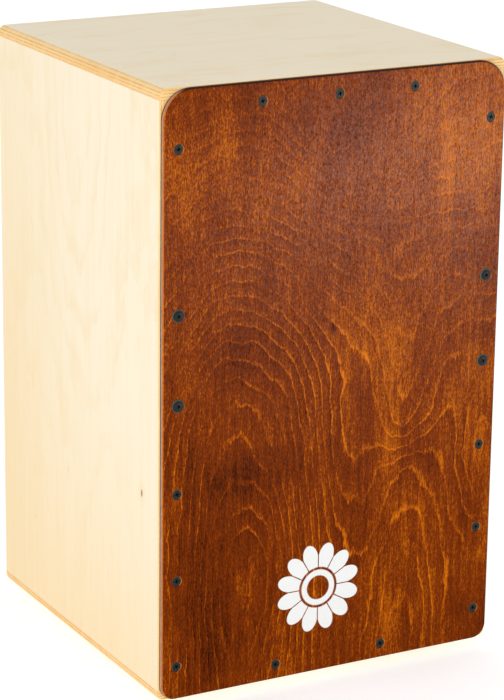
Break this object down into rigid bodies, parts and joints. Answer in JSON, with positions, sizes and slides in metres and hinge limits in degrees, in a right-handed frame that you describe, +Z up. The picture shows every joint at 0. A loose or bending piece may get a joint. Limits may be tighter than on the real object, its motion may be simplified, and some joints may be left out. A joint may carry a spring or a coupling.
{
  "type": "cajon",
  "caption": "Upright plywood box drum with a thin stained front plate screwed over its open front, a round sound hole at the back, rubber feet and a turning snare bar inside.",
  "frame": {"origin": "on the floor under the middle of the object, level with the undersides of the rubber feet", "axes": "+Z up, +X to the right as seen from in front of the played plate, +Y from the plate to the back panel"},
  "size_m": [0.3, 0.3003, 0.4895],
  "materials": {
    "birch_plywood": "satin clear lacquer over pale birch plywood",
    "stained_plywood": "red-brown stain under semi-gloss lacquer",
    "pine": "bare planed pine",
    "beech": "bare sanded beech",
    "zinc_steel": "zinc plated",
    "snare_wire": "bright drawn wire",
    "black_steel": "black oxide",
    "foot_rubber": "matt moulded rubber"
  },
  "bodies": {
    "drum_box": {"top_panel": "birch_plywood", "bottom_panel": "birch_plywood", "left_side_panel": "birch_plywood", "right_side_panel": "birch_plywood", "back_panel": "birch_plywood", "front_plate": "stained_plywood", "front_top_batten": "pine", "front_bottom_batten": "pine", "front_left_upper_batten": "pine", "front_left_lower_batten": "pine", "front_right_upper_batten": "pine", "front_right_lower_batten": "pine", "rear_top_batten": "pine", "rear_bottom_batten": "pine", "rear_left_batten": "pine", "rear_right_batten": "pine", "left_bearing_block": "beech", "right_bearing_block": "beech", "front_plate_screws": "black_steel", "bearing_block_screws": "black_steel", "front_left_foot": "foot_rubber", "front_right_foot": "foot_rubber", "rear_left_foot": "foot_rubber", "rear_right_foot": "foot_rubber", "foot_screws": "zinc_steel"},
    "snare_assembly": {"snare_bar": "beech", "left_snare_clip": "zinc_steel", "right_snare_clip": "zinc_steel", "left_snare_strands": "snare_wire", "right_snare_strands": "snare_wire", "snare_clip_screws": "zinc_steel"}
  },
  "joints": [
    {"name": "snare_bar_turn", "type": "hinge", "parent": "drum_box", "child": "snare_assembly", "pos_m": [0, -0.12835, 0.2824], "axis": [-1, 0, 0], "range_deg": [0, 25]}
  ]
}
